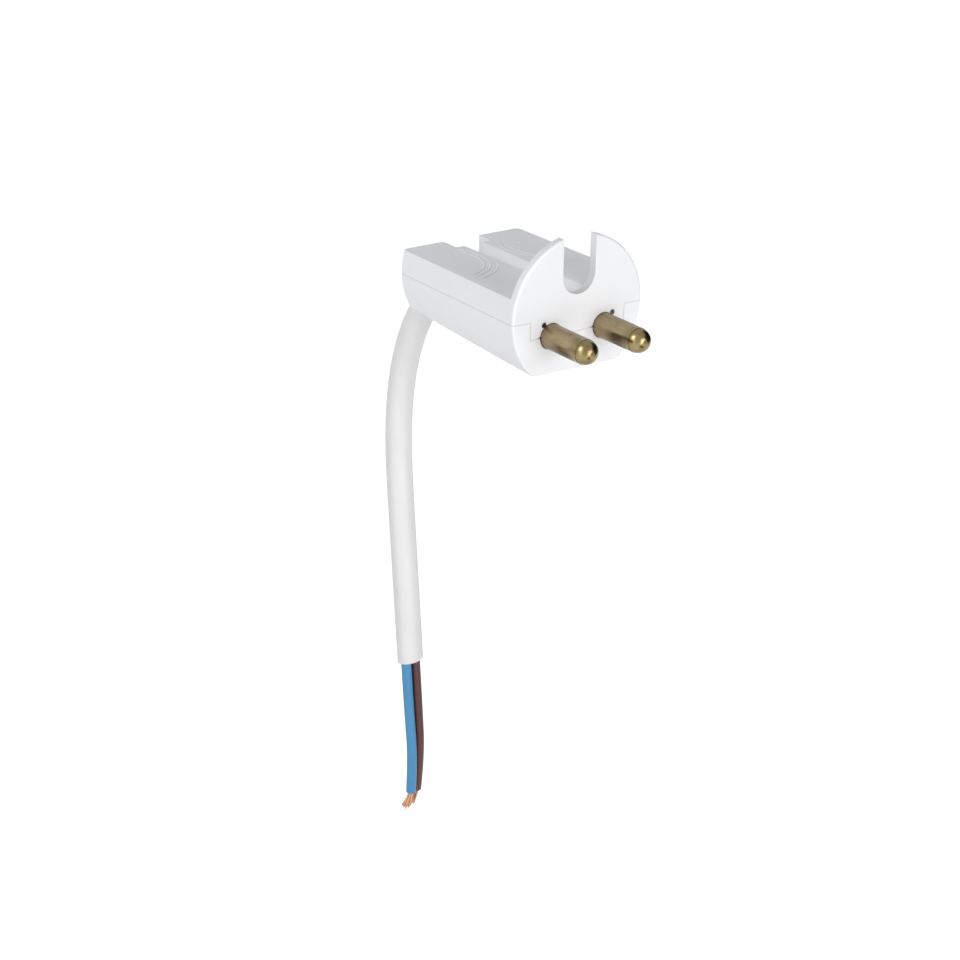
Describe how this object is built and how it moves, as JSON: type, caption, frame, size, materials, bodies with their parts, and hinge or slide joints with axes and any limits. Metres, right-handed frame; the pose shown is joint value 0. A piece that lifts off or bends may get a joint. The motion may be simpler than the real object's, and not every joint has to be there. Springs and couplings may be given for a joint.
{
  "type": "lamp plug",
  "caption": "Round-flanged ceiling lamp plug with a hook slot, straight round pins and a short stripped cord hanging from its rear end.",
  "frame": {"origin": "midway between the axes of the two pins, on the plane of the housing's front face", "axes": "-Y the way the pins point, +X to the right seen from the front, +Z towards the open end of the hook slot"},
  "size_m": [0.0294, 0.0756, 0.1436],
  "materials": {
    "white_plastic": "smooth moulded, semi-gloss",
    "brass": "turned, lightly scratched",
    "zinc_steel": "zinc plated",
    "white_sheath": "satin soft vinyl",
    "blue_insulation": "satin soft vinyl",
    "brown_insulation": "satin soft vinyl",
    "copper": "bright bare copper strands"
  },
  "bodies": {
    "root": {"upper_shell": "white_plastic", "lower_cover": "white_plastic", "pin_left": "brass", "pin_right": "brass", "terminal_screw_left": "zinc_steel", "terminal_screw_right": "zinc_steel", "cover_screw": "zinc_steel", "cord_clamp": "white_plastic", "clamp_screw_left": "zinc_steel", "clamp_screw_right": "zinc_steel", "cord_sheath": "white_sheath", "blue_lead": "blue_insulation", "brown_lead": "brown_insulation", "blue_lead_wire": "copper", "brown_lead_wire": "copper", "blue_core": "blue_insulation", "brown_core": "brown_insulation", "blue_strands": "copper", "brown_strands": "copper"}
  },
  "joints": []
}
